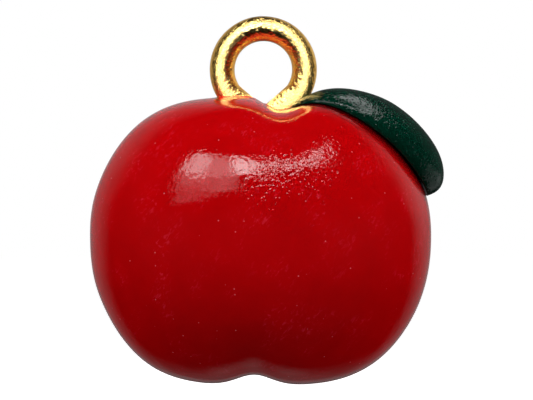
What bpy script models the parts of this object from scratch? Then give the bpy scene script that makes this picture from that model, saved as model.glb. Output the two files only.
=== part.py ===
# Apple charm: a lacquered body with two lobes, a plump leaf over one shoulder and a gilt wire eye.
# Metres, +Z up. The origin is the middle of the eye's ring, and the charm's front faces -Y.

import math

import bmesh
import bpy
from mathutils import Vector

MM = 0.001

# Driving dimensions of the eye
WIRE_RADIUS = 0.60 * MM
RING_RADIUS = 1.975 * MM  # to the middle of the wire
RING_EASE_RADIUS = 1.0 * MM  # the tighter bend between the ring and each leg
LEG_SLOPE = math.radians(41)  # below the horizontal
LEG_OFFSET = 1.93 * MM  # from the ring's middle to the middle line of a leg
PEG_RADIUS = 0.55 * MM
PEG_TOP = -2.5 * MM
PEG_BOTTOM = -7.0 * MM
FIT_GAP = 0.05 * MM  # round the eye in the body and the leaf, and under the leaf

# Driving dimensions of the body, whose outline is a superellipse that is squarer towards its poles
BODY_MIDDLE = Vector((-0.13, 0.0, -8.05)) * MM
BODY_HALF_WIDTH = 8.19 * MM
BODY_HALF_DEPTH = 7.30 * MM
BODY_RISE = 6.75 * MM  # from the widest level to the top
BODY_DROP = 7.08 * MM  # from the widest level to the bottom
WAIST_POWER = 2.25
POLE_POWER = 3.15
POWER_CLIMB = 3.75  # how late the outline turns from the one to the other

# The crease between the lobes: depth, half width and place across the body at the pole. Away from the pole it
# leans across and spreads, and fades out at a level given as a share of the height.
TOP_CREASE = {"depth": 0.70 * MM, "half_width": 1.05 * MM, "x": 1.03 * MM,
              "lean": 0.24 * MM, "spread": 2.0, "fades_at": 0.46}
LOW_CREASE = {"depth": 0.52 * MM, "half_width": 1.20 * MM, "x": -0.33 * MM,
              "lean": 0.0, "spread": 0.0, "fades_at": 0.50}

# Driving dimensions of the leaf, measured over the shoulder from the body's middle
LEAF_ROOT_ANGLE = math.radians(11.0)  # from straight up, towards +X
LEAF_TIP_ANGLE = math.radians(73.2)
LEAF_HALF_WIDTH = 2.2 * MM
LEAF_THICKNESS = 1.08 * MM  # at the middle of its length
LEAF_THICKENING = 0.60 * MM  # more towards the tip, and less towards the root
LEAF_EASING = 0.15 * MM  # less towards both ends
LEAF_RIM = 0.18  # height of the rim's widest line at the tip, as a share of the thickness
LEAF_ROOT_Y = -1.20 * MM  # the root lies in front of the eye's right leg
LEAF_MIDDLE_Y = -0.45 * MM

# Fineness of the meshes
BODY_SUBDIVISIONS = 5
LEAF_SEGMENTS = 32
LEAF_RINGS = 24
ARC_STEP = math.radians(7)
LEG_STEPS = 6
WIRE_BEVEL_RESOLUTION = 5
PEG_SIDES = 20
WELD_DISTANCE = 0.001 * MM


def clear_scene():
    for thing in list(bpy.data.objects):
        bpy.data.objects.remove(thing, do_unlink=True)


def make_collection(name):
    collection = bpy.data.collections.new(name)
    bpy.context.scene.collection.children.link(collection)
    return collection


def make_material(name, colour, roughness, metallic):
    material = bpy.data.materials.new(name)
    material.use_nodes = True
    shader = material.node_tree.nodes["Principled BSDF"]
    shader.inputs["Base Color"].default_value = (*colour, 1.0)
    shader.inputs["Roughness"].default_value = roughness
    shader.inputs["Metallic"].default_value = metallic
    return material


def add_object(name, mesh, collection, location=(0, 0, 0)):
    thing = bpy.data.objects.new(name, mesh)
    thing.location = location
    collection.objects.link(thing)
    return thing


def hide_helper(thing):
    thing.hide_render = True
    thing.display_type = "WIRE"


def smooth_step(low, high, value):
    share = min(max((value - low) / (high - low), 0.0), 1.0)
    return share * share * (3 - 2 * share)


def body_point(direction):
    """The body's surface in a direction from its middle, as a point relative to that middle."""
    across = math.hypot(direction.x, direction.y)
    power = WAIST_POWER + (POLE_POWER - WAIST_POWER) * abs(direction.z) ** POWER_CLIMB
    swell = (across ** power + abs(direction.z) ** power) ** (-1 / power)
    half_height = BODY_RISE if direction.z > 0 else BODY_DROP
    point = swell * Vector((direction.x * BODY_HALF_WIDTH,
                            direction.y * BODY_HALF_DEPTH,
                            direction.z * half_height))
    crease = TOP_CREASE if direction.z > 0 else LOW_CREASE
    depth = crease["depth"] * smooth_step(crease["fades_at"], 1.0, abs(direction.z))
    from_pole = 1 - abs(direction.z)
    sideways = point.x - crease["x"] - crease["lean"] * from_pole
    half_width = crease["half_width"] * (1 + crease["spread"] * from_pole)
    push = depth * math.exp(-(sideways / half_width) ** 2)
    return point - push * point.normalized()


def body_outward(point):
    """The outward direction at a point of the body, with the crease left out."""
    half_height = BODY_RISE if point.z > 0 else BODY_DROP
    return Vector((point.x / BODY_HALF_WIDTH ** 2,
                   point.y / BODY_HALF_DEPTH ** 2,
                   point.z / half_height ** 2)).normalized()


def make_body(collection):
    bm = bmesh.new()
    bmesh.ops.create_icosphere(bm, subdivisions=BODY_SUBDIVISIONS, radius=1.0)
    for vertex in bm.verts:
        vertex.co = body_point(vertex.co.normalized())
    mesh = bpy.data.meshes.new("apple_body")
    bm.to_mesh(mesh)
    bm.free()
    mesh.shade_smooth()
    return add_object("apple_body", mesh, collection, BODY_MIDDLE)


def leaf_point(along, across, up):
    """A point of the leaf, from a point of the unit sphere whose poles are the leaf's root and tip."""
    along = min(max(along, -1.0), 1.0)
    turn = math.atan2(up, across)
    side, lift = math.cos(turn), math.sin(turn)
    if along < 0:  # tapers to a point at the root
        half_width = LEAF_HALF_WIDTH * (1 - abs(along) ** 1.4) ** 0.5
        taper = (1 - along ** 4) ** 0.5
    else:  # stays full until just before the blunt tip
        half_width = LEAF_HALF_WIDTH * (1 - along ** 2.5) ** 0.4
        taper = (1 - along ** 3) ** 0.33
    thickness = (LEAF_THICKNESS + LEAF_THICKENING * along - LEAF_EASING * along ** 2) * taper
    rim = LEAF_RIM * (along + 1) / 2
    if lift > 0:
        height = thickness * (rim + (1 - rim) * lift)
    else:
        height = thickness * rim * (1 - (1 - side ** 4) ** 0.25)

    angle = LEAF_ROOT_ANGLE + (LEAF_TIP_ANGLE - LEAF_ROOT_ANGLE) * (along + 1) / 2
    middle_y = LEAF_MIDDLE_Y + (LEAF_MIDDLE_Y - LEAF_ROOT_Y) * along
    sideways = math.asin((middle_y + side * half_width) / BODY_HALF_DEPTH)
    seat = body_point(Vector((math.sin(angle) * math.cos(sideways),
                              math.sin(sideways),
                              math.cos(angle) * math.cos(sideways))))
    return seat + (FIT_GAP + height) * body_outward(seat)


def make_leaf(collection):
    bm = bmesh.new()
    bmesh.ops.create_uvsphere(bm, u_segments=LEAF_SEGMENTS, v_segments=LEAF_RINGS, radius=1.0)
    for vertex in bm.verts:
        vertex.co = leaf_point(along=vertex.co.z, across=vertex.co.y, up=vertex.co.x)
    bmesh.ops.recalc_face_normals(bm, faces=bm.faces)
    mesh = bpy.data.meshes.new("leaf")
    bm.to_mesh(mesh)
    bm.free()
    mesh.shade_smooth()
    return add_object("leaf", mesh, collection, BODY_MIDDLE)


def arc_points(middle, radius, start, end):
    steps = max(2, round(abs(end - start) / ARC_STEP))
    angles = [start + (end - start) * step / steps for step in range(steps + 1)]
    return [middle + radius * Vector((math.cos(angle), 0, math.sin(angle))) for angle in angles]


def eye_half_route():
    """Middle line of the wire's +X half, from just past the top of the ring to just past the legs' join."""
    outward = Vector((math.sin(LEG_SLOPE), 0, -math.cos(LEG_SLOPE)))
    down_leg = Vector((-math.cos(LEG_SLOPE), 0, -math.sin(LEG_SLOPE)))
    leg_angle = LEG_SLOPE - math.pi / 2
    ease = math.acos((LEG_OFFSET - RING_EASE_RADIUS) / (RING_RADIUS - RING_EASE_RADIUS))
    ease_angle = leg_angle + ease
    ease_middle = (RING_RADIUS - RING_EASE_RADIUS) * Vector((math.cos(ease_angle), 0, math.sin(ease_angle)))

    route = arc_points(Vector(), RING_RADIUS, math.pi / 2 + 2 * ARC_STEP, ease_angle)
    route += arc_points(ease_middle, RING_EASE_RADIUS, ease_angle, leg_angle)[1:]
    leg_start = ease_middle + RING_EASE_RADIUS * outward
    leg_length = (leg_start.x + 2 * WIRE_RADIUS) / math.cos(LEG_SLOPE)
    route += [leg_start + down_leg * leg_length * step / LEG_STEPS for step in range(1, LEG_STEPS + 1)]
    return route


def make_tube_mesh(name, route, radius):
    curve = bpy.data.curves.new(name, "CURVE")
    curve.dimensions = "3D"
    curve.bevel_depth = radius
    curve.bevel_resolution = WIRE_BEVEL_RESOLUTION
    curve.use_fill_caps = True
    spline = curve.splines.new("POLY")
    spline.points.add(len(route) - 1)
    for point, place in zip(spline.points, route):
        point.co = (*place, 1.0)
    guide = add_object(name, curve, bpy.context.scene.collection)
    evaluated = guide.evaluated_get(bpy.context.evaluated_depsgraph_get())
    mesh = bpy.data.meshes.new_from_object(evaluated)
    bpy.data.objects.remove(guide, do_unlink=True)
    bm = bmesh.new()
    bm.from_mesh(mesh)
    bmesh.ops.remove_doubles(bm, verts=bm.verts, dist=WELD_DISTANCE)
    bm.to_mesh(mesh)
    bm.free()
    mesh.shade_smooth()
    return mesh


def make_peg(name, grow, helpers):
    bm = bmesh.new()
    length = PEG_TOP - PEG_BOTTOM + grow
    bmesh.ops.create_cone(bm, cap_ends=True, segments=PEG_SIDES, depth=length,
                          radius1=PEG_RADIUS + grow, radius2=PEG_RADIUS + grow)
    mesh = bpy.data.meshes.new(name)
    bm.to_mesh(mesh)
    bm.free()
    peg = add_object(name, mesh, helpers, (0, 0, PEG_TOP - length / 2))
    hide_helper(peg)
    return peg


def make_eye(name, grow, collection, helpers):
    """The ring, its two legs and the peg below them, as one solid, grown all round by the given amount."""
    eye = add_object(name, make_tube_mesh(name, eye_half_route(), WIRE_RADIUS + grow), collection)
    mirror = eye.modifiers.new("other_half", "MIRROR")
    mirror.use_axis = (True, False, False)
    mirror.use_bisect_axis = (True, False, False)
    mirror.bisect_threshold = WELD_DISTANCE
    mirror.merge_threshold = WELD_DISTANCE
    join = eye.modifiers.new("peg", "BOOLEAN")
    join.operation = "UNION"
    join.solver = "EXACT"
    join.object = make_peg(name + "_peg", grow, helpers)
    return eye


def cut_with(thing, cutter):
    cut = thing.modifiers.new(cutter.name, "BOOLEAN")
    cut.operation = "DIFFERENCE"
    cut.solver = "EXACT"
    cut.object = cutter


def main():
    clear_scene()
    charm = make_collection("apple_charm")
    helpers = make_collection("cutters")

    body = make_body(charm)
    leaf = make_leaf(charm)
    eye = make_eye("wire_eye", 0.0, charm, helpers)
    socket = make_eye("eye_socket", FIT_GAP, helpers, helpers)
    hide_helper(socket)
    cut_with(body, socket)
    cut_with(leaf, socket)

    body.data.materials.append(make_material("red_lacquer", (0.42, 0.002, 0.004), 0.12, 0.0))
    leaf.data.materials.append(make_material("green_lacquer", (0.003, 0.027, 0.015), 0.15, 0.0))
    eye.data.materials.append(make_material("gilt_wire", (0.85, 0.62, 0.25), 0.12, 1.0))

    hanger = bpy.data.objects.new("charm_origin", None)
    charm.objects.link(hanger)
    for piece in (body, leaf, eye):
        piece.parent = hanger


main()
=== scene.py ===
# Apple charm, dressed: a red lacquered body with two lobes, a green lacquered leaf and a gilt wire eye.
# Metres, +Z up. The origin is the middle of the eye's ring, and the charm's front faces -Y.

import math

import bmesh
import bpy
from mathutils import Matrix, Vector, noise
from mathutils.bvhtree import BVHTree


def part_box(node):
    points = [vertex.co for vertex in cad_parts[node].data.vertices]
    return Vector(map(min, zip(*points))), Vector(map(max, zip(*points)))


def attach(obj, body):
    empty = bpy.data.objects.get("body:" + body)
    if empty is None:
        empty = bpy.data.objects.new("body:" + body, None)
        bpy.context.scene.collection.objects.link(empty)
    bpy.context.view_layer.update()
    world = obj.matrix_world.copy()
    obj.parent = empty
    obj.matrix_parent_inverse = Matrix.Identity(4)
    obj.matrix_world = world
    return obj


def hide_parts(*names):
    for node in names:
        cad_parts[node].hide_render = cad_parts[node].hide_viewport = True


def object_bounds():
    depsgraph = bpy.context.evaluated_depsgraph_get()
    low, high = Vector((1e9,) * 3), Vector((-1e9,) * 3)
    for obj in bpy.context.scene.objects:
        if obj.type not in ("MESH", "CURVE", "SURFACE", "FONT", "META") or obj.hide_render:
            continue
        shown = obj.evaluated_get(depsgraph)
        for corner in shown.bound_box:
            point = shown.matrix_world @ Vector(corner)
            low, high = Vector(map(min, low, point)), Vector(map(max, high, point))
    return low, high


mm = 0.001
mergeDistance = 0.001 * mm

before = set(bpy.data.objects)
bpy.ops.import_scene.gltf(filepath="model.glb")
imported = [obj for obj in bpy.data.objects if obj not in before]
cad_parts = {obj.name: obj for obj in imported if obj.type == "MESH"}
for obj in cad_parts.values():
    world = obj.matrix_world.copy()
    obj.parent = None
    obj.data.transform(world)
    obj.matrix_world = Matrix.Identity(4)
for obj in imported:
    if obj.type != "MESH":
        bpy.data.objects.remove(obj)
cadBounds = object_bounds()
bodyLow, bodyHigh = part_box("apple_body")
print("frame loaded:", ", ".join(sorted(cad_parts)))


# Small helpers

def deselectAll():
    if bpy.context.object and bpy.context.object.mode == "EDIT":
        bpy.ops.object.mode_set(mode="OBJECT")
    bpy.ops.object.select_all(action="DESELECT")


def selectAlone(piece):
    deselectAll()
    piece.select_set(True)
    bpy.context.view_layer.objects.active = piece


def finishPiece(piece, name, material, cadNode):
    piece.name = name
    piece.data.name = name
    piece.data.materials.clear()
    piece.data.materials.append(material)
    piece.data.shade_smooth()
    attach(piece, "root")
    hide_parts(cadNode)


def placeIntoMesh(piece):
    selectAlone(piece)
    bpy.ops.object.transform_apply(location=True, rotation=True, scale=True)


def turnOutwards(piece):
    selectAlone(piece)
    bpy.ops.object.mode_set(mode="EDIT")
    bpy.ops.mesh.select_all(action="SELECT")
    bpy.ops.mesh.normals_make_consistent(inside=False)
    bpy.ops.object.mode_set(mode="OBJECT")


def applyModifier(piece, kind, **settings):
    selectAlone(piece)
    modifier = piece.modifiers.new(kind.lower(), kind)
    for name, value in settings.items():
        setattr(modifier, name, value)
    bpy.ops.object.modifier_apply(modifier=modifier.name)


def smoothStep(low, high, value):
    share = min(max((value - low) / (high - low), 0.0), 1.0)
    return share * share * (3 - 2 * share)


# A soft unevenness of the given size across and depth, the same in every run
def waver(point, size, depth):
    return depth * noise.noise(point / size)


# Materials

# An sRGB colour such as #CB070D, as linear red, green, blue and alpha
def linear(hexColour):
    parts = [int(hexColour[i:i + 2], 16) / 255 for i in (1, 3, 5)]
    return tuple(c / 12.92 if c <= 0.04045 else ((c + 0.055) / 1.055) ** 2.4 for c in parts) + (1.0,)


# Adds a node: settings are its own values, inputs its sockets' values, links the sockets that feed it
def addNode(material, kind, links=None, inputs=None, **settings):
    tree = material.node_tree
    node = tree.nodes.new(kind)
    for name, value in settings.items():
        setattr(node, name, value)
    for socket, value in (inputs or {}).items():
        node.inputs[socket].default_value = value
    for socket, source in (links or {}).items():
        tree.links.new(source, node.inputs[socket])
    return node


def startMaterial(name, **shaderInputs):
    material = bpy.data.materials.new(name)
    material.use_nodes = True
    shader = material.node_tree.nodes["Principled BSDF"]
    for socket, value in shaderInputs.items():
        shader.inputs[socket.replace("_", " ")].default_value = value
    return material, shader


# Low domes over hard grains under a coat, each of which catches a lamp on its flank: gives the bumped normal
def addGrains(material, place, under, look, mask=None):
    toGrain = addNode(material, "ShaderNodeTexVoronoi", {"Vector": place},
                      {"Scale": 1 / look["grainSpacing"]})
    dome = addNode(material, "ShaderNodeMapRange", {"Value": toGrain.outputs["Distance"]},
                   {"From Min": 0.0, "From Max": look["grainRadius"] / look["grainSpacing"],
                    "To Min": 1.0, "To Max": 0.0}, interpolation_type="SMOOTHSTEP").outputs["Result"]
    if mask:
        dome = addNode(material, "ShaderNodeMath", {0: dome, 1: mask}, operation="MULTIPLY").outputs["Value"]
    bump = addNode(material, "ShaderNodeBump", {"Height": dome, "Normal": under},
                   {"Distance": look["grainHeight"], "Strength": 1.0})
    return bump.outputs["Normal"]


# Glossy pigmented lacquer sprayed over cast resin: deep even colour, sharp reflections that ripple a little
redLacquer = {
    "deep": "#BC0206",
    "light": "#D60309",
    "cloudSize": 1.7 * mm,  # soft clouds in the pigment
    "peelSize": 0.20 * mm,  # orange peel of sprayed lacquer
    "peelDepth": 0.030 * mm,
    "swellSize": 0.9 * mm,  # slower waves of the same coat
    "swellDepth": 0.014 * mm,
    "roughPatch": Vector((3.0, -6.4, -5.2)) * mm,  # where the coat dried bumpier
    "roughPatchReach": 4.2 * mm,
    "roughPatchCore": 0.62,  # the share of the reach over which it is as bumpy as in the middle
    "peelElsewhere": 0.34,  # the peel outside the patch, as a share of the peel in it
    "grainSpacing": 0.19 * mm,  # fine hard grains under the coat, in and below the bumpy patch
    "grainRadius": 0.075 * mm,
    "grainHeight": 0.014 * mm,
    "grainPatch": Vector((1.8, -6.8, -5.9)) * mm,
    "grainPatchReach": 3.0 * mm,
    "grainPatchCore": 0.7,
    "paintedLeafShade": "#4A0002",  # painted shade along the leaf's edge, standing in for the shadow the leaf casts on the coat
    "nib": "#E67C84",  # dust nibs caught in the coat
    "nibSpacing": 0.42 * mm,
    "nibRadius": 0.052 * mm,
    "nibRarity": 0.72,  # the share of the places that have no nib
    "roughness": 0.045,
    "ior": 1.5,
}

# Faint rubbed flecks in the red coat, here and there. "starts" and "full" are levels of the noise that draws
# them, from where nothing of it shows to where all of it does.
scuffs = {
    "colour": "#E0263A",
    "width": 0.13 * mm,
    "length": 0.30 * mm,
    "tilt": math.radians(38),  # from straight up, towards +X
    "distortion": 0.9,
    "starts": 0.565,
    "full": 0.70,
    "patchSize": 1.7 * mm,
    "patchStarts": 0.49,
    "patchFull": 0.63,
    "strength": 0.65,
}


def makeRedLacquer():
    look = redLacquer
    material, shader = startMaterial("red_lacquer_over_resin", Roughness=look["roughness"], IOR=look["ior"])
    place = addNode(material, "ShaderNodeTexCoord").outputs["Object"]

    clouds = addNode(material, "ShaderNodeTexNoise", {"Vector": place},
                     {"Scale": 1 / look["cloudSize"], "Detail": 3.0})
    colour = addNode(material, "ShaderNodeMix", {"Factor": clouds.outputs["Fac"]},
                     {"A": linear(look["deep"]), "B": linear(look["light"])}, data_type="RGBA")

    # The patch where the coat is bumpier
    peelAway = addNode(material, "ShaderNodeVectorMath", {0: place}, {1: look["roughPatch"]},
                       operation="DISTANCE")
    peelPatch = addNode(material, "ShaderNodeMapRange", {"Value": peelAway.outputs["Value"]},
                        {"From Min": look["roughPatchCore"] * look["roughPatchReach"],
                         "From Max": look["roughPatchReach"],
                         "To Min": 1.0, "To Max": look["peelElsewhere"]}, interpolation_type="SMOOTHSTEP")
    swell = addNode(material, "ShaderNodeTexNoise", {"Vector": place},
                    {"Scale": 1 / look["swellSize"], "Detail": 1.0})
    peel = addNode(material, "ShaderNodeTexNoise", {"Vector": place},
                   {"Scale": 1 / look["peelSize"], "Detail": 2.0, "Roughness": 0.5})
    swellBump = addNode(material, "ShaderNodeBump", {"Height": swell.outputs["Fac"]},
                        {"Distance": look["swellDepth"], "Strength": 1.0})
    peelHeight = addNode(material, "ShaderNodeMath",
                         {0: peel.outputs["Fac"], 1: peelPatch.outputs["Result"]}, operation="MULTIPLY")
    peelBump = addNode(material, "ShaderNodeBump",
                       {"Height": peelHeight.outputs["Value"], "Normal": swellBump.outputs["Normal"]},
                       {"Distance": look["peelDepth"], "Strength": 1.0})

    grainAway = addNode(material, "ShaderNodeVectorMath", {0: place}, {1: look["grainPatch"]},
                        operation="DISTANCE")
    grainPatch = addNode(material, "ShaderNodeMapRange", {"Value": grainAway.outputs["Value"]},
                         {"From Min": look["grainPatchCore"] * look["grainPatchReach"],
                          "From Max": look["grainPatchReach"],
                          "To Min": 1.0, "To Max": 0.0}, interpolation_type="SMOOTHSTEP")
    normal = addGrains(material, place, peelBump.outputs["Normal"], look, grainPatch.outputs["Result"])

    # Rubbed flecks: noise drawn out along one direction, strong in some patches only
    drawnOut = addNode(material, "ShaderNodeMapping", {"Vector": place},
                       {"Rotation": (0, scuffs["tilt"], 0),
                        "Scale": (scuffs["width"], scuffs["length"], scuffs["length"])},
                       vector_type="TEXTURE")
    flecks = addNode(material, "ShaderNodeTexNoise", {"Vector": drawnOut.outputs["Vector"]},
                     {"Scale": 1.0, "Detail": 2.0, "Distortion": scuffs["distortion"]})
    scuffPatches = addNode(material, "ShaderNodeTexNoise", {"Vector": place},
                           {"Scale": 1 / scuffs["patchSize"], "Detail": 1.0})
    scuffStrength = addNode(material, "ShaderNodeMapRange", {"Value": scuffPatches.outputs["Fac"]},
                            {"From Min": scuffs["patchStarts"], "From Max": scuffs["patchFull"],
                             "To Min": 0.0, "To Max": scuffs["strength"]})
    rubbed = addNode(material, "ShaderNodeMapRange",
                     {"Value": flecks.outputs["Fac"], "To Max": scuffStrength.outputs["Result"]},
                     {"From Min": scuffs["starts"], "From Max": scuffs["full"], "To Min": 0.0})
    scuffed = addNode(material, "ShaderNodeMix",
                      {"Factor": rubbed.outputs["Result"], "A": colour.outputs["Result"]},
                      {"B": linear(scuffs["colour"])}, data_type="RGBA")

    # Dust nibs: tiny pale dots, in a few of the cells only
    cells = addNode(material, "ShaderNodeTexVoronoi", {"Vector": place}, {"Scale": 1 / look["nibSpacing"]})
    nib = addNode(material, "ShaderNodeMapRange", {"Value": cells.outputs["Distance"]},
                  {"From Min": 0.0, "From Max": look["nibRadius"] / look["nibSpacing"],
                   "To Min": 1.0, "To Max": 0.0}, interpolation_type="SMOOTHSTEP")
    cellDraw = addNode(material, "ShaderNodeSeparateColor", {"Color": cells.outputs["Color"]})
    chosen = addNode(material, "ShaderNodeMath", {0: cellDraw.outputs["Red"]}, {1: look["nibRarity"]},
                     operation="GREATER_THAN")
    nibs = addNode(material, "ShaderNodeMath", {0: nib.outputs["Result"], 1: chosen.outputs["Value"]},
                   operation="MULTIPLY")
    dusted = addNode(material, "ShaderNodeMix",
                     {"Factor": nibs.outputs["Value"], "A": scuffed.outputs["Result"]},
                     {"B": linear(look["nib"])}, data_type="RGBA")

    # Painted shade: the coat darkens towards the leaf, standing in for the leaf's contact shadow
    leafShadeShare = addNode(material, "ShaderNodeAttribute", attribute_name="paintedShadeByLeaf")
    paintedLeafShade = addNode(material, "ShaderNodeMix",
                     {"Factor": leafShadeShare.outputs["Fac"], "A": dusted.outputs["Result"]},
                     {"B": linear(look["paintedLeafShade"])}, data_type="RGBA")

    tree = material.node_tree
    tree.links.new(paintedLeafShade.outputs["Result"], shader.inputs["Base Color"])
    tree.links.new(normal, shader.inputs["Normal"])
    return material


# The same kind of coat in dark green: nearly black wherever nothing bright is reflected
greenLacquer = {
    "deep": "#012319",
    "light": "#022D1F",
    "cloudSize": 1.6 * mm,
    "peelSize": 0.22 * mm,
    "peelDepth": 0.030 * mm,
    "speck": "#2E5A4C",  # fine pale specks in the coat
    "speckSize": 0.11 * mm,
    "specksStart": 0.64,  # levels of the noise that draws the specks
    "specksFull": 0.78,
    "speckStrength": 0.4,
    "grainSpacing": 0.15 * mm,
    "grainRadius": 0.060 * mm,
    "grainHeight": 0.022 * mm,
    "roughness": 0.06,
    "ior": 1.38,
}


def makeGreenLacquer():
    look = greenLacquer
    material, shader = startMaterial("green_lacquer_over_resin", Roughness=look["roughness"],
                                     IOR=look["ior"])
    place = addNode(material, "ShaderNodeTexCoord").outputs["Object"]
    clouds = addNode(material, "ShaderNodeTexNoise", {"Vector": place},
                     {"Scale": 1 / look["cloudSize"], "Detail": 3.0})
    colour = addNode(material, "ShaderNodeMix", {"Factor": clouds.outputs["Fac"]},
                     {"A": linear(look["deep"]), "B": linear(look["light"])}, data_type="RGBA")
    speckle = addNode(material, "ShaderNodeTexNoise", {"Vector": place},
                      {"Scale": 1 / look["speckSize"], "Detail": 1.0})
    specks = addNode(material, "ShaderNodeMapRange", {"Value": speckle.outputs["Fac"]},
                     {"From Min": look["specksStart"], "From Max": look["specksFull"],
                      "To Min": 0.0, "To Max": look["speckStrength"]})
    speckled = addNode(material, "ShaderNodeMix",
                       {"Factor": specks.outputs["Result"], "A": colour.outputs["Result"]},
                       {"B": linear(look["speck"])}, data_type="RGBA")
    peel = addNode(material, "ShaderNodeTexNoise", {"Vector": place},
                   {"Scale": 1 / look["peelSize"], "Detail": 2.0, "Roughness": 0.6})
    bump = addNode(material, "ShaderNodeBump", {"Height": peel.outputs["Fac"]},
                   {"Distance": look["peelDepth"], "Strength": 1.0})
    normal = addGrains(material, place, bump.outputs["Normal"], look)
    tree = material.node_tree
    tree.links.new(speckled.outputs["Result"], shader.inputs["Base Color"])
    tree.links.new(normal, shader.inputs["Normal"])
    return material


# Thin gold plating over tumbled brass wire: bright streaks along the wire that small pits break up
gilt = {
    "colour": "#F5D07C",
    "pitSize": 0.13 * mm,  # fine pits, as tumbling leaves
    "pitDepth": 0.044 * mm,
    "dentSize": 0.70 * mm,  # shallow dents, as handling leaves
    "dentDepth": 0.030 * mm,
    "roughness": 0.26,  # together with the anisotropy: smooth round the wire, brushed along it
    "anisotropy": 1.0,
}


def makeGilt():
    look = gilt
    material, shader = startMaterial("gold_plated_brass_wire", Metallic=1.0, Roughness=look["roughness"],
                                     Anisotropic=look["anisotropy"])
    shader.inputs["Base Color"].default_value = linear(look["colour"])
    tangent = addNode(material, "ShaderNodeTangent", direction_type="RADIAL", axis="Y")
    place = addNode(material, "ShaderNodeTexCoord").outputs["Object"]
    dents = addNode(material, "ShaderNodeTexNoise", {"Vector": place},
                    {"Scale": 1 / look["dentSize"], "Detail": 1.0})
    pits = addNode(material, "ShaderNodeTexNoise", {"Vector": place},
                   {"Scale": 1 / look["pitSize"], "Detail": 1.0})
    dentBump = addNode(material, "ShaderNodeBump", {"Height": dents.outputs["Fac"]},
                       {"Distance": look["dentDepth"], "Strength": 1.0})
    pitBump = addNode(material, "ShaderNodeBump",
                      {"Height": pits.outputs["Fac"], "Normal": dentBump.outputs["Normal"]},
                      {"Distance": look["pitDepth"], "Strength": 1.0})
    tree = material.node_tree
    tree.links.new(tangent.outputs["Tangent"], shader.inputs["Tangent"])
    tree.links.new(pitBump.outputs["Normal"], shader.inputs["Normal"])
    return material


# Gilt wire eye: a ring whose two legs run together and sink into the body

eye = {
    "wireRadius": 0.60 * mm,
    "ringRadius": 1.975 * mm,  # to the middle of the wire
    "easeRadius": 1.0 * mm,  # the tighter bend between the ring and each leg
    "legSlope": math.radians(41),
    "legOffset": 1.93 * mm,  # from the ring's middle to the middle line of a leg
    "pegRadius": 0.55 * mm,
    "pegTop": -2.5 * mm,
    "pegBottom": -7.0 * mm,
    "pegSides": 32,
    "pegBevel": 0.1 * mm,
    "sides": 48,
    "ringSteps": 60,
    "bendSteps": 8,
    "legSteps": 12,
    "pastTop": math.radians(7),  # the half starts a little past the mirror's plane, which cuts it clean
    "dentSize": 1.3 * mm,
    "dentDepth": 0.012 * mm,
}


# The angles and the middle of the ease bend, and where the leg starts, for the +X half
def eyeBends():
    legAngle = eye["legSlope"] - math.pi / 2
    spare = eye["ringRadius"] - eye["easeRadius"]
    easeAngle = legAngle + math.acos((eye["legOffset"] - eye["easeRadius"]) / spare)
    easeMiddle = spare * Vector((math.cos(easeAngle), 0, math.sin(easeAngle)))
    legStart = easeMiddle + eye["easeRadius"] * Vector((math.cos(legAngle), 0, math.sin(legAngle)))
    return legAngle, easeAngle, easeMiddle, legStart


def makeEye():
    legAngle, easeAngle, easeMiddle, legStart = eyeBends()
    legAlong = Vector((-math.cos(eye["legSlope"]), 0, -math.sin(eye["legSlope"])))
    pastMirror = 2 * eye["wireRadius"]  # so that the leg is cut clean by the mirror's plane
    legLength = (legStart.x + pastMirror) / math.cos(eye["legSlope"])
    start = math.pi / 2 + eye["pastTop"]
    ringStart = eye["ringRadius"] * Vector((math.cos(start), 0, math.sin(start)))
    deselectAll()
    bpy.ops.mesh.primitive_circle_add(vertices=eye["sides"], radius=eye["wireRadius"],
                                      location=ringStart, rotation=(0, -start, 0))
    wire = bpy.context.object
    placeIntoMesh(wire)
    bpy.ops.object.mode_set(mode="EDIT")
    bpy.ops.mesh.select_all(action="SELECT")
    bpy.ops.mesh.spin(steps=eye["ringSteps"], angle=start - easeAngle, center=(0, 0, 0), axis=(0, -1, 0))
    bpy.ops.mesh.spin(steps=eye["bendSteps"], angle=easeAngle - legAngle, center=easeMiddle, axis=(0, -1, 0))
    legStep = legAlong * legLength / eye["legSteps"]
    for step in range(eye["legSteps"]):
        bpy.ops.mesh.extrude_region_move(TRANSFORM_OT_translate={"value": legStep})
    bpy.ops.mesh.select_all(action="SELECT")
    bpy.ops.mesh.remove_doubles(threshold=mergeDistance)
    bpy.ops.object.mode_set(mode="OBJECT")
    applyModifier(wire, "MIRROR", use_axis=(True, False, False), use_bisect_axis=(True, False, False),
                  bisect_threshold=mergeDistance, merge_threshold=mergeDistance)

    deselectAll()
    pegLength = eye["pegTop"] - eye["pegBottom"]
    bpy.ops.mesh.primitive_cylinder_add(vertices=eye["pegSides"], radius=eye["pegRadius"], depth=pegLength,
                                        location=(0, 0, eye["pegTop"] - pegLength / 2))
    peg = bpy.context.object
    placeIntoMesh(peg)
    bpy.ops.object.mode_set(mode="EDIT")
    bpy.ops.mesh.select_all(action="SELECT")
    bpy.ops.mesh.bevel(offset=eye["pegBevel"], segments=2)
    bpy.ops.object.mode_set(mode="OBJECT")

    turnOutwards(wire)
    applyModifier(wire, "BOOLEAN", operation="UNION", solver="MANIFOLD", object=peg)
    bpy.data.objects.remove(peg, do_unlink=True)
    for vertex in wire.data.vertices:
        vertex.co += vertex.normal * waver(vertex.co, eye["dentSize"], eye["dentDepth"])
    return wire


# From a point to the wire's surface, below zero inside it
def distanceToWire(point):
    legAngle, easeAngle, easeMiddle, legStart = eyeBends()
    near = Vector((abs(point.x), point.y, point.z))
    legEnd = legStart + Vector((-1, 0, -math.tan(eye["legSlope"]))) * legStart.x
    along = legEnd - legStart
    share = min(max((near - legStart).dot(along) / along.length_squared, 0.0), 1.0)
    toLeg = (near - legStart - share * along).length
    flat = Vector((near.x, 0, near.z))
    toRing = (near - eye["ringRadius"] * flat.normalized()).length if near.z > legStart.z else toLeg
    return min(toLeg, toRing) - eye["wireRadius"]


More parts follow.
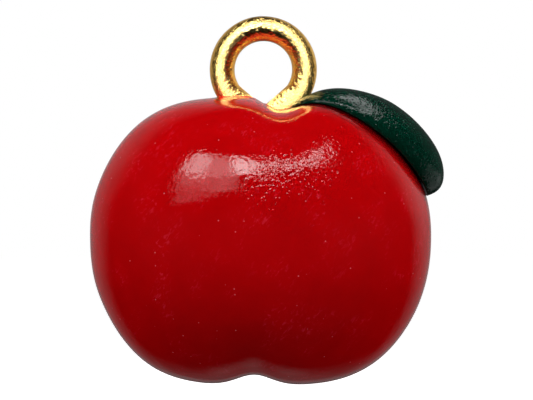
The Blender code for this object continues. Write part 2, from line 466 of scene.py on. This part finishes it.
# Red body: one closed form with a crease between two lobes, and lacquer that creeps up the wire. Away from
# its pole a crease leans over and spreads, and it ends where the sine of the elevation is "fadesAt".

apple = {
    "middle": Vector(((bodyLow.x + bodyHigh.x) / 2, 0.0, -8.05 * mm)),  # at the widest level
    "halfWidth": (bodyHigh.x - bodyLow.x) / 2,
    "halfDepth": (bodyHigh.y - bodyLow.y) / 2,
    "rise": 6.75 * mm,
    "drop": 7.08 * mm,
    "waistPower": 2.25,  # the outline is a superellipse, squarer towards its poles
    "polePower": 3.15,
    "powerClimb": 3.75,
    "topCrease": {"depth": 0.70 * mm, "halfWidth": 1.05 * mm, "x": 1.03 * mm, "lean": 0.24 * mm,
                  "spread": 2.0, "fadesAt": 0.46},
    "lowCrease": {"depth": 0.52 * mm, "halfWidth": 1.20 * mm, "x": -0.33 * mm, "lean": 0.0,
                  "spread": 0.0, "fadesAt": 0.50},
    "subdivisions": 7,
    "lipHeight": 0.09 * mm,  # of the lacquer that crept up the wire
    "lipReach": 0.16 * mm,
    "lipWaverSize": 0.45 * mm,
    "lipWaverDepth": 0.05 * mm,
    "lipArea": 1.6 * mm,  # the mesh is finer this near to the wire
    "lipCuts": 3,
    "waverSize": 2.6 * mm,
    "waverDepth": 0.030 * mm,
}


# The body's surface in a direction from its middle, as a point relative to that middle
def bodyPoint(direction):
    across = math.hypot(direction.x, direction.y)
    climb = abs(direction.z) ** apple["powerClimb"]
    power = apple["waistPower"] + (apple["polePower"] - apple["waistPower"]) * climb
    swell = (across ** power + abs(direction.z) ** power) ** (-1 / power)
    halfHeight = apple["rise"] if direction.z > 0 else apple["drop"]
    point = swell * Vector((direction.x * apple["halfWidth"],
                            direction.y * apple["halfDepth"],
                            direction.z * halfHeight))
    crease = apple["topCrease"] if direction.z > 0 else apple["lowCrease"]
    depth = crease["depth"] * smoothStep(crease["fadesAt"], 1.0, abs(direction.z))
    fromPole = 1 - abs(direction.z)
    sideways = point.x - crease["x"] - crease["lean"] * fromPole
    halfWidth = crease["halfWidth"] * (1 + crease["spread"] * fromPole)
    push = depth * math.exp(-(sideways / halfWidth) ** 2)
    return point - push * point.normalized()


# The outward direction at a point of the body, with the crease left out
def bodyOutward(point):
    halfHeight = apple["rise"] if point.z > 0 else apple["drop"]
    return Vector((point.x / apple["halfWidth"] ** 2,
                   point.y / apple["halfDepth"] ** 2,
                   point.z / halfHeight ** 2)).normalized()


def makeBody():
    deselectAll()
    bpy.ops.mesh.primitive_ico_sphere_add(subdivisions=apple["subdivisions"], radius=apple["halfWidth"])
    body = bpy.context.object
    bpy.ops.object.mode_set(mode="EDIT")
    bpy.ops.mesh.select_all(action="DESELECT")
    bpy.ops.mesh.select_mode(type="FACE")
    grid = bmesh.from_edit_mesh(body.data)
    for face in grid.faces:
        place = apple["middle"] + bodyPoint(face.calc_center_median().normalized())
        face.select_set(distanceToWire(place) < apple["lipArea"])
    bmesh.update_edit_mesh(body.data)
    bpy.ops.mesh.subdivide(number_cuts=apple["lipCuts"])
    bpy.ops.object.mode_set(mode="OBJECT")
    for vertex in body.data.vertices:
        point = bodyPoint(vertex.co.normalized())
        place = apple["middle"] + point
        gap = distanceToWire(place) + waver(place, apple["lipWaverSize"], apple["lipWaverDepth"])
        lip = apple["lipHeight"] * math.exp(-max(gap, 0.0) / apple["lipReach"])
        lift = lip + waver(place, apple["waverSize"], apple["waverDepth"])
        vertex.co = place + lift * bodyOutward(point)
    return body


# Green leaf: a plump blade over the right shoulder, from the eye's right leg to above the widest level

leaf = {
    "rootAngle": math.radians(11.0),  # from straight up, towards +X
    "tipAngle": math.radians(73.2),
    "halfWidth": 2.2 * mm,
    "thickness": 1.08 * mm,  # at the middle of its length
    "thickening": 0.60 * mm,
    "easing": 0.15 * mm,
    "rim": 0.18,  # height of the rim's widest line at the tip, as a share of the thickness
    "underPower": 4,  # how flat the underside stays before it turns up to the rim
    "rootEnd": {"widthPower": 1.4, "widthRoot": 0.5, "thicknessPower": 4, "thicknessRoot": 0.5},  # pointed
    "tipEnd": {"widthPower": 2.5, "widthRoot": 0.4, "thicknessPower": 3, "thicknessRoot": 0.33},  # blunt
    "rootY": -1.20 * mm,
    "middleY": -0.45 * mm,
    "gap": 0.05 * mm,  # under the leaf
    "wireGap": 0.03 * mm,  # round the wire
    "segments": 128,
    "rings": 96,
    "waverSize": 1.4 * mm,
    "waverDepth": 0.025 * mm,
    "paintedShadeReach": 1.0 * mm,  # how far from the leaf the painted shade reaches into the body's coat
}


# A point of the leaf, from a point of the unit sphere whose poles are the leaf's root and tip
def leafPoint(along, across, up):
    along = min(max(along, -1.0), 1.0)
    turn = math.atan2(up, across)
    side, lift = math.cos(turn), math.sin(turn)
    end = leaf["rootEnd"] if along < 0 else leaf["tipEnd"]
    halfWidth = leaf["halfWidth"] * (1 - abs(along) ** end["widthPower"]) ** end["widthRoot"]
    taper = (1 - abs(along) ** end["thicknessPower"]) ** end["thicknessRoot"]
    thickness = (leaf["thickness"] + leaf["thickening"] * along - leaf["easing"] * along ** 2) * taper
    rim = leaf["rim"] * (along + 1) / 2
    if lift > 0:
        height = thickness * (rim + (1 - rim) * lift)
    else:
        height = thickness * rim * (1 - (1 - side ** leaf["underPower"]) ** (1 / leaf["underPower"]))
    angle = leaf["rootAngle"] + (leaf["tipAngle"] - leaf["rootAngle"]) * (along + 1) / 2
    middleY = leaf["middleY"] + (leaf["middleY"] - leaf["rootY"]) * along
    sideways = math.asin((middleY + side * halfWidth) / apple["halfDepth"])
    seat = bodyPoint(Vector((math.sin(angle) * math.cos(sideways),
                             math.sin(sideways),
                             math.cos(angle) * math.cos(sideways))))
    outward = bodyOutward(seat)
    unevenness = waver(apple["middle"] + seat, leaf["waverSize"], leaf["waverDepth"]) * max(lift, 0.0)
    return seat + (leaf["gap"] + height + unevenness * min(1.0, height / leaf["gap"])) * outward


def makeLeaf(wire):
    deselectAll()
    bpy.ops.mesh.primitive_uv_sphere_add(segments=leaf["segments"], ring_count=leaf["rings"], radius=1.0)
    blade = bpy.context.object
    for vertex in blade.data.vertices:
        vertex.co = apple["middle"] + leafPoint(along=vertex.co.z, across=vertex.co.y, up=vertex.co.x)
    turnOutwards(blade)

    cutter = wire.copy()
    cutter.data = wire.data.copy()
    bpy.context.collection.objects.link(cutter)
    for vertex in cutter.data.vertices:
        vertex.co += vertex.normal * leaf["wireGap"]
    applyModifier(blade, "BOOLEAN", operation="DIFFERENCE", solver="MANIFOLD", object=cutter)
    bpy.data.objects.remove(cutter, do_unlink=True)
    return blade


# Paints shade into the body's coat next to the leaf: 1 at the leaf, fading to 0 at the reach
def paintShadeBesideLeaf(body, blade):
    near = BVHTree.FromObject(blade, bpy.context.evaluated_depsgraph_get())
    paintedLeafShade = body.data.attributes.new("paintedShadeByLeaf", "FLOAT", "POINT")
    for vertex in body.data.vertices:
        gap = near.find_nearest(vertex.co, leaf["paintedShadeReach"])[3]
        if gap is not None:
            paintedLeafShade.data[vertex.index].value = 1 - smoothStep(0.0, leaf["paintedShadeReach"], gap)


wirePiece = makeEye()
print("eye made:", len(wirePiece.data.polygons), "faces")
bodyPiece = makeBody()
print("body made:", len(bodyPiece.data.polygons), "faces")
leafPiece = makeLeaf(wirePiece)
print("leaf made:", len(leafPiece.data.polygons), "faces")
paintShadeBesideLeaf(bodyPiece, leafPiece)

finishPiece(bodyPiece, "lacquered_body", makeRedLacquer(), "apple_body")
finishPiece(leafPiece, "lacquered_leaf", makeGreenLacquer(), "leaf")
finishPiece(wirePiece, "gilt_eye", makeGilt(), "wire_eye")
print("materials made")


# Floor, light and camera

studio = {
    "aim": Vector((0, 0, -6.5)) * mm,
    "lightDistance": 0.30,
    "nearCardDistance": 0.20,  # nearer than the painted screens, so that these don't hide the cards
    "screenCells": (90, 60),  # of a painted screen's mesh, across and up
    "seenWhite": 1.0,  # the world, as the camera sees it
    "reflectedWhite": 0.006,  # the same, as everything else sees it: a dark room
    "floorBelow": 6 * mm,
    "floorSize": 3.0,
    "viewDistance": 0.35,
    "sensorWidth": 36.0,
    "clipStart": 0.01,
    "clipEnd": 10.0,
    "photoWidth": 533,  # the photograph's frame, in pixels
    "pixelSize": 0.048 * mm,  # at the eye
    "viewMiddle": Vector((0.154, 0, -6.25)) * mm,
}

# The key is one curved soft box over the front. Its brightness is radiance, painted as patches in degrees
# round the charm: azimuth from the front towards +X, elevation, and how much the patch rises per degree.
keyPatches = {
    "left_band": dict(azimuth=-36, elevation=48, width=61, height=14, rise=0.04, brightness=2.7),
    "left_lamp": dict(azimuth=-54, elevation=45.5, width=19, height=14, rise=0.0, brightness=3.0),
    "middle_lamp": dict(azimuth=-8, elevation=52, width=25, height=14, rise=0.0, brightness=7.0),
    "valley_lamp": dict(azimuth=20, elevation=54, width=12, height=14, rise=0.0, brightness=10.5),
    "right_lamp": dict(azimuth=49, elevation=57, width=35, height=9, rise=0.2, brightness=7.6),
    "right_glow": dict(azimuth=44, elevation=52, width=44, height=9, rise=0.0, brightness=0.8),
    "left_glow": dict(azimuth=-40, elevation=38.5, width=52, height=7, rise=0.03, brightness=1.3),
    "low_left_glow": dict(azimuth=-38, elevation=32.5, width=50, height=7, rise=0.04, brightness=0.9),
    "lowest_glow": dict(azimuth=-40, elevation=27, width=38, height=8, rise=0.25, brightness=0.6),
}
keyEdge = 0.08  # how soft each patch's edge is, as a share of its half size
keyCornerPower = 6  # how square each patch's corners are

# Soft glows on a cloth behind the charm, which the body and the wire reflect at their edges. Each fades out
# where the cosine of the angle to its middle falls to "until". The table's edge is a dark line between them.
backGlows = {
    "left": dict(azimuth=-159, elevation=12, until=0.71, brightness=0.22),
    "right": dict(azimuth=159, elevation=12, until=0.71, brightness=0.22),
    "right_shoulder": dict(azimuth=134, elevation=20, until=0.91, brightness=0.23),
    "table_edge": dict(azimuth=180, elevation=-9, until=0.984, brightness=-0.20),
    "low": dict(azimuth=180, elevation=-33, until=0.85, brightness=0.07),
    "lower": dict(azimuth=180, elevation=-42, until=0.97, brightness=0.05),
    "lowest": dict(azimuth=180, elevation=-57, until=0.97, brightness=0.14),
}

# The two painted screens, in degrees: azimuth and elevation of the middle, and how far they reach from it
screens = {
    "curved_soft_box": {"middle": (0, 45), "reach": (82, 33)},
    "back_cloth": {"middle": (180, 0), "reach": (100, 80)},
}

# Flat boxes. Fills light the charm evenly and don't show in reflections. Cards show in reflections only,
# each in those of one piece.
fills = {
    "fill_left": dict(azimuth=-70, elevation=12, width=60, height=50, brightness=1.2),
    "fill_right": dict(azimuth=70, elevation=12, width=60, height=50, brightness=1.5),
    "fill_front": dict(azimuth=0, elevation=14, width=60, height=40, brightness=0.66),
    "fill_under": dict(azimuth=180, elevation=-55, width=60, height=60, brightness=0.9),
    "fill_top": dict(azimuth=0, elevation=86, width=60, height=60, brightness=0.25),
    "fill_back_left": dict(azimuth=-125, elevation=18, width=50, height=50, brightness=1.1),
    "fill_back_right": dict(azimuth=125, elevation=18, width=50, height=50, brightness=1.3),
}
wireCards = {
    "card_front": dict(azimuth=-4, elevation=33, width=60, height=26, brightness=48.0),
    "card_over": dict(azimuth=0, elevation=68, width=70, height=40, brightness=9.0),
}
wireRimCards = {
    "card_rim_left": dict(azimuth=-135, elevation=5, width=75, height=90, brightness=0.34),
    "card_rim_right": dict(azimuth=135, elevation=5, width=75, height=90, brightness=0.42),
}
rimTint = (1.0, 0.80, 0.50)  # a warm wall, seen at the wire's edges
leafCards = {
    "card_leaf": dict(azimuth=120, elevation=69, width=42, height=22, brightness=3.2),
    "card_leaf_tip": dict(azimuth=112, elevation=-32, width=60, height=56, brightness=0.36),
    "card_leaf_back": dict(azimuth=152, elevation=12, width=90, height=60, brightness=0.055),
}


# The direction from the charm at an azimuth and elevation in degrees
def away(azimuth, elevation):
    azimuth, elevation = math.radians(azimuth), math.radians(elevation)
    return Vector((math.sin(azimuth) * math.cos(elevation),
                   -math.cos(azimuth) * math.cos(elevation),
                   math.sin(elevation)))


def keyBrightness(azimuth, elevation):
    total = 0.0
    for patch in keyPatches.values():
        across = abs(azimuth - patch["azimuth"]) / (patch["width"] / 2)
        level = patch["elevation"] + patch["rise"] * (azimuth - patch["azimuth"])
        up = abs(elevation - level) / (patch["height"] / 2)
        reach = (across ** keyCornerPower + up ** keyCornerPower) ** (1 / keyCornerPower)
        total += patch["brightness"] * (1 - smoothStep(1 - keyEdge, 1 + keyEdge, reach))
    return total


def glowBrightness(azimuth, elevation):
    total = 0.0
    for glow in backGlows.values():
        facing = away(azimuth, elevation).dot(away(glow["azimuth"], glow["elevation"]))
        total += glow["brightness"] * max(facing - glow["until"], 0.0) / (1 - glow["until"])
    return max(total, 0.0)


# A curved cloth round the charm, lit from behind so that its brightness varies over it
def makeScreen(name, brightnessAt):
    middle, reach = screens[name]["middle"], screens[name]["reach"]
    cellsAcross, cellsUp = studio["screenCells"]
    deselectAll()
    bpy.ops.mesh.primitive_grid_add(x_subdivisions=cellsAcross, y_subdivisions=cellsUp, size=2.0)
    screen = bpy.context.object
    screen.name = name
    glow = screen.data.attributes.new("brightness", "FLOAT", "POINT")
    for vertex in screen.data.vertices:
        azimuth = middle[0] + reach[0] * vertex.co.x
        elevation = middle[1] + reach[1] * vertex.co.y
        glow.data[vertex.index].value = brightnessAt(azimuth, elevation)
        vertex.co = studio["aim"] + studio["lightDistance"] * away(azimuth, elevation)
    diffuser = bpy.data.materials.new("lit_diffuser_cloth")
    diffuser.use_nodes = True
    diffuser.node_tree.nodes.clear()
    painted = addNode(diffuser, "ShaderNodeAttribute", attribute_name="brightness")
    light = addNode(diffuser, "ShaderNodeEmission", {"Strength": painted.outputs["Fac"]})
    addNode(diffuser, "ShaderNodeOutputMaterial", {"Surface": light.outputs["Emission"]})
    screen.data.materials.append(diffuser)
    screen.visible_camera = False
    screen.visible_shadow = False
    return screen


def addFlatBox(name, box, distance):
    direction = away(box["azimuth"], box["elevation"])
    deselectAll()
    bpy.ops.object.light_add(type="AREA", location=studio["aim"] + direction * distance)
    light = bpy.context.object
    light.name = name
    light.rotation_euler = direction.to_track_quat("Z", "Y").to_euler()
    light.data.shape = "RECTANGLE"
    light.data.size = 2 * distance * math.tan(math.radians(box["width"] / 2))
    light.data.size_y = 2 * distance * math.tan(math.radians(box["height"] / 2))
    light.data.energy = box["brightness"] * math.pi * light.data.size * light.data.size_y
    light.visible_camera = False
    return light


# A group of the only pieces that a light or a cloth is to light
def litWith(name, pieces):
    group = bpy.data.collections.new(name)
    for piece in pieces:
        group.objects.link(piece)
    return group


makeScreen("curved_soft_box", keyBrightness)
backCloth = makeScreen("back_cloth", glowBrightness)
backCloth.visible_diffuse = False
backCloth.light_linking.receiver_collection = litWith("shows_back_cloth", (bodyPiece, wirePiece))
for name, box in fills.items():
    addFlatBox(name, box, studio["lightDistance"]).visible_glossy = False
for piece, cards, distance in ((wirePiece, wireCards, studio["lightDistance"]),
                               (wirePiece, wireRimCards, studio["nearCardDistance"]),
                               (leafPiece, leafCards, studio["nearCardDistance"])):
    litAlone = litWith("shows_" + piece.name + "_cards", (piece,))
    for name, box in cards.items():
        card = addFlatBox(name, box, distance)
        card.visible_diffuse = False
        card.data.color = rimTint if cards is wireRimCards else (1, 1, 1)
        card.light_linking.receiver_collection = litAlone

# White behind the charm for the camera alone
world = bpy.data.worlds.new("white_studio")
bpy.context.scene.world = world
world.use_nodes = True
world.node_tree.nodes.clear()
dim = addNode(world, "ShaderNodeBackground",
              inputs={"Color": (1, 1, 1, 1), "Strength": studio["reflectedWhite"]})
white = addNode(world, "ShaderNodeBackground",
                inputs={"Color": (1, 1, 1, 1), "Strength": studio["seenWhite"]})
seen = addNode(world, "ShaderNodeLightPath").outputs["Is Camera Ray"]
mixed = addNode(world, "ShaderNodeMixShader", {0: seen, 1: dim.outputs[0], 2: white.outputs[0]})
addNode(world, "ShaderNodeOutputWorld", {"Surface": mixed.outputs[0]})

# Pale table top below the charm: lit so evenly that it is white, and kept out of the reflections
tableTop = {
    "colour": "#FFFFFF",
    "roughness": 0.6,
    "glow": 1.0,
}
deselectAll()
floorZ = cadBounds[0][2] - studio["floorBelow"]
bpy.ops.mesh.primitive_plane_add(size=studio["floorSize"], location=(0, 0, floorZ))
floor = bpy.context.object
floor.name = "pale_table_top"
acrylic, acrylicShader = startMaterial("matt_white_acrylic", Roughness=tableTop["roughness"],
                                       Emission_Strength=tableTop["glow"])
acrylicShader.inputs["Base Color"].default_value = linear(tableTop["colour"])
acrylicShader.inputs["Emission Color"].default_value = linear(tableTop["colour"])
floor.data.materials.append(acrylic)
floor.visible_glossy = False
floor.visible_diffuse = False
floor.visible_shadow = False

deselectAll()
bpy.ops.object.camera_add(location=studio["viewMiddle"] + Vector((0, -studio["viewDistance"], 0)),
                          rotation=(math.pi / 2, 0, 0))
camera = bpy.context.object
camera.name = "photo_camera"
camera.data.sensor_width = studio["sensorWidth"]
camera.data.lens = (camera.data.sensor_width * studio["viewDistance"]
                    / (studio["photoWidth"] * studio["pixelSize"]))
camera.data.clip_start = studio["clipStart"]
camera.data.clip_end = studio["clipEnd"]
bpy.context.scene.camera = camera
bpy.context.scene.view_settings.view_transform = "Standard"
print("studio made")
